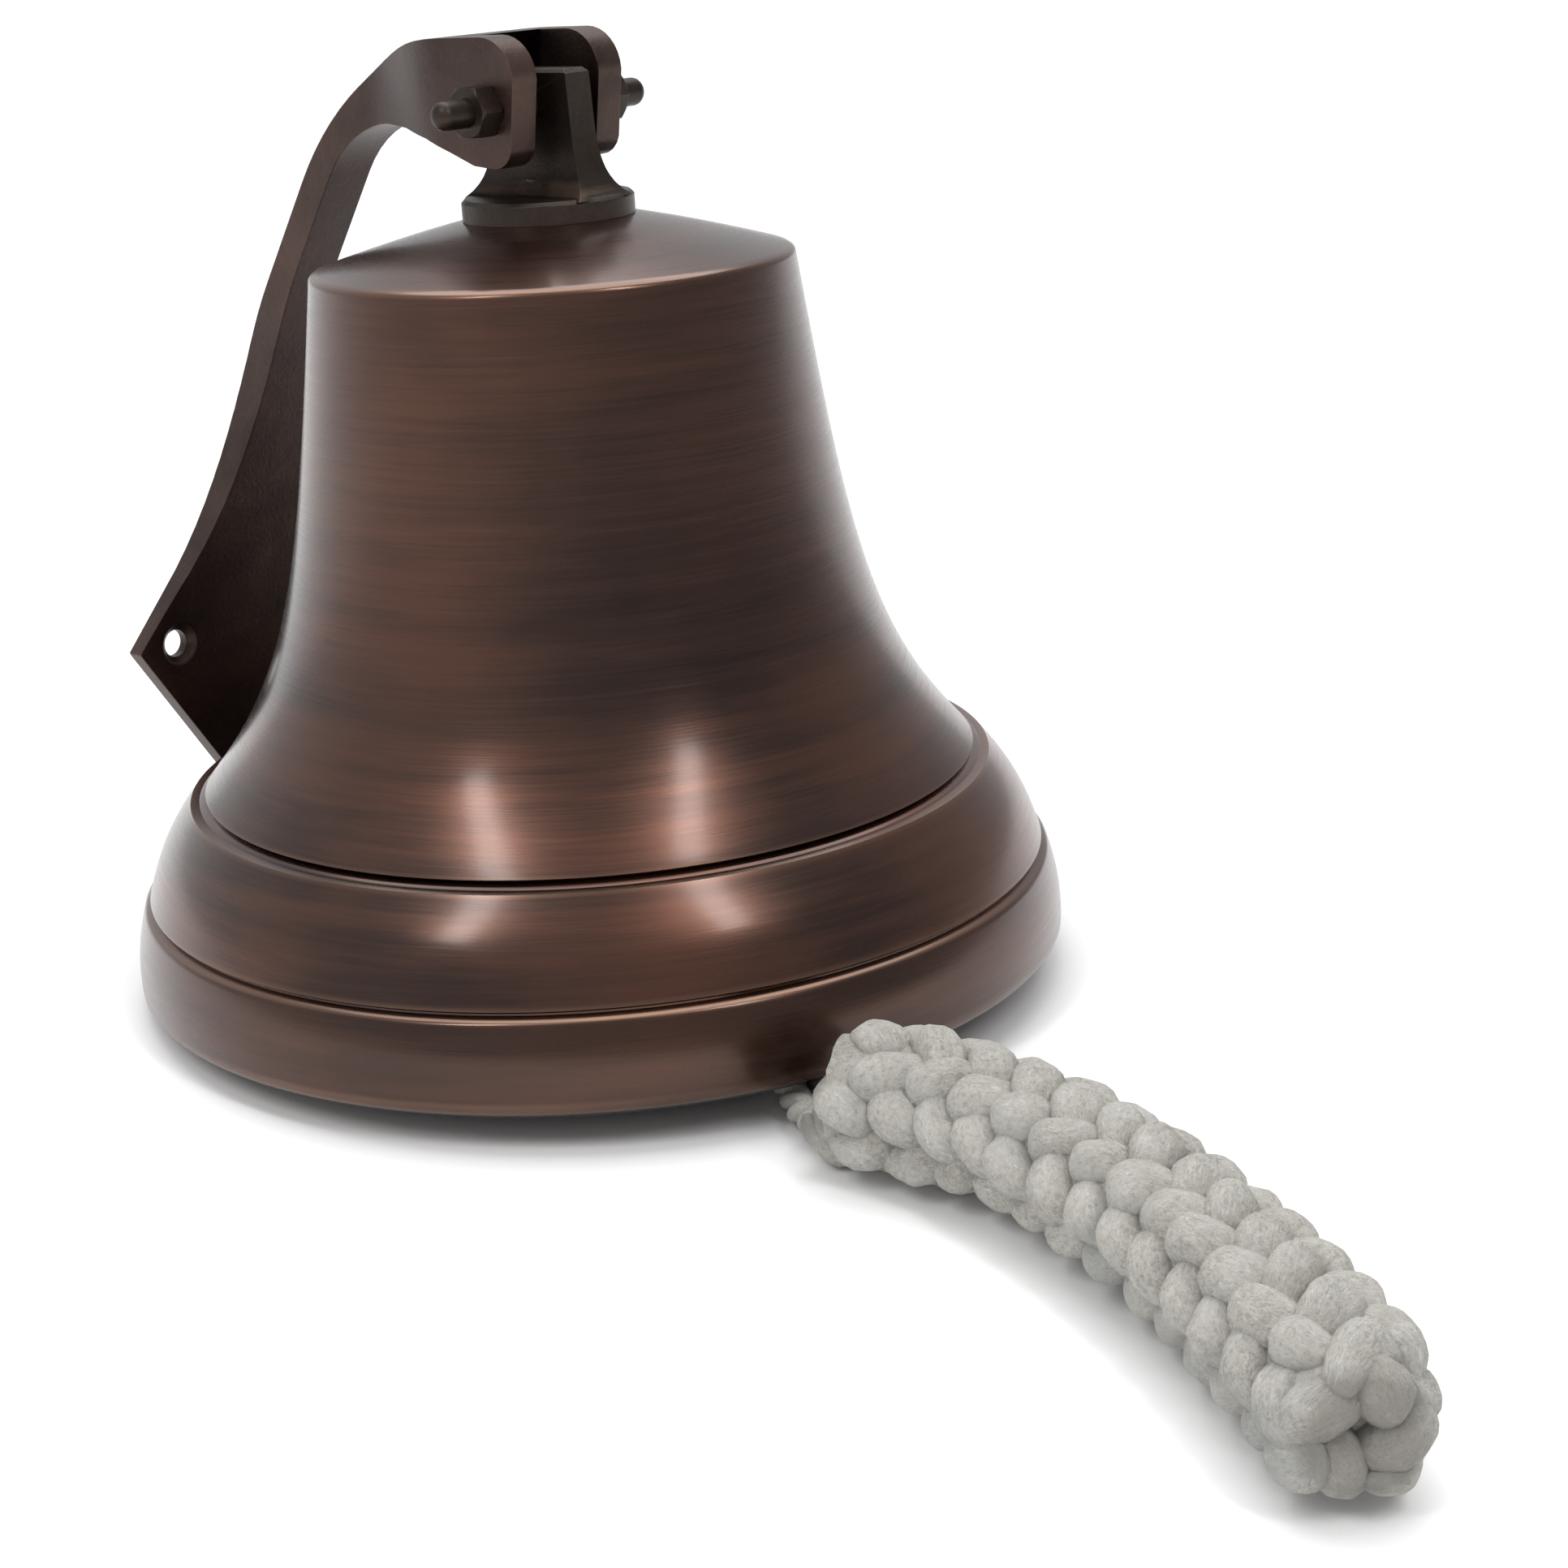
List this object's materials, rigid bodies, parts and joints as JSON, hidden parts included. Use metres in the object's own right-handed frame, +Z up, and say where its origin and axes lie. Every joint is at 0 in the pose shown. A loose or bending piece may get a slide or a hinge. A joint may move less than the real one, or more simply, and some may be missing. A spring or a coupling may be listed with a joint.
{
  "type": "wall-mounted ship bell",
  "caption": "Copper-coloured ship bell with turned grooves, forked wall bracket, hinged hanger, ball clapper and braided cotton lanyard.",
  "frame": {"origin": "on the surface the bell stands on, under the middle of the box round the bell and its bracket, the lanyard left out", "axes": "+Z up; X along the hinge stud; +Y from the bell towards the bracket's wall plate; the lanyard lies towards -Y"},
  "size_m": [0.2084, 0.3743, 0.2064],
  "materials": {
    "bell_copper": "satin spun antique copper",
    "bracket_copper": "satin antique copper, darker in the corners",
    "dark_bronze": "dark antique finish, bright at the edges",
    "clapper_brass": "plain dull brass",
    "cotton": "off-white braided cotton with grey-blue and brown marks"
  },
  "bodies": {
    "bell": {"bell_shell": "bell_copper", "hanger_casting": "dark_bronze", "crown_stud": "clapper_brass", "crown_washer": "clapper_brass", "crown_nut": "clapper_brass", "lanyard_sennit": "cotton", "lanyard_loop": "cotton"},
    "bracket_arm": {"bracket": "bracket_copper", "hinge_stud": "dark_bronze", "hinge_nut_left": "dark_bronze", "hinge_nut_right": "dark_bronze"},
    "link": {"clapper_link": "clapper_brass", "link_pin": "clapper_brass"},
    "clapper": {"clapper_pin": "clapper_brass", "clapper_rod": "clapper_brass", "clapper_ball": "clapper_brass", "clapper_eye": "clapper_brass"}
  },
  "joints": [
    {"name": "bracket_swing", "type": "hinge", "parent": "bell", "child": "bracket_arm", "pos_m": [0, 0.00247, 0.19166], "axis": [1, 0, 0], "range_deg": [0, 95]},
    {"name": "clapper_side_swing", "type": "hinge", "parent": "bell", "child": "link", "pos_m": [0, 0.00062, 0.1437], "axis": [0, 0.9993, -0.0384], "range_deg": [-24, 24], "deforming": ["lanyard_loop"]},
    {"name": "clapper_strike_swing", "type": "hinge", "parent": "link", "child": "clapper", "pos_m": [0, -0.00003, 0.12671], "axis": [1, 0, 0], "range_deg": [-26, 21.5], "deforming": ["lanyard_loop"]}
  ]
}
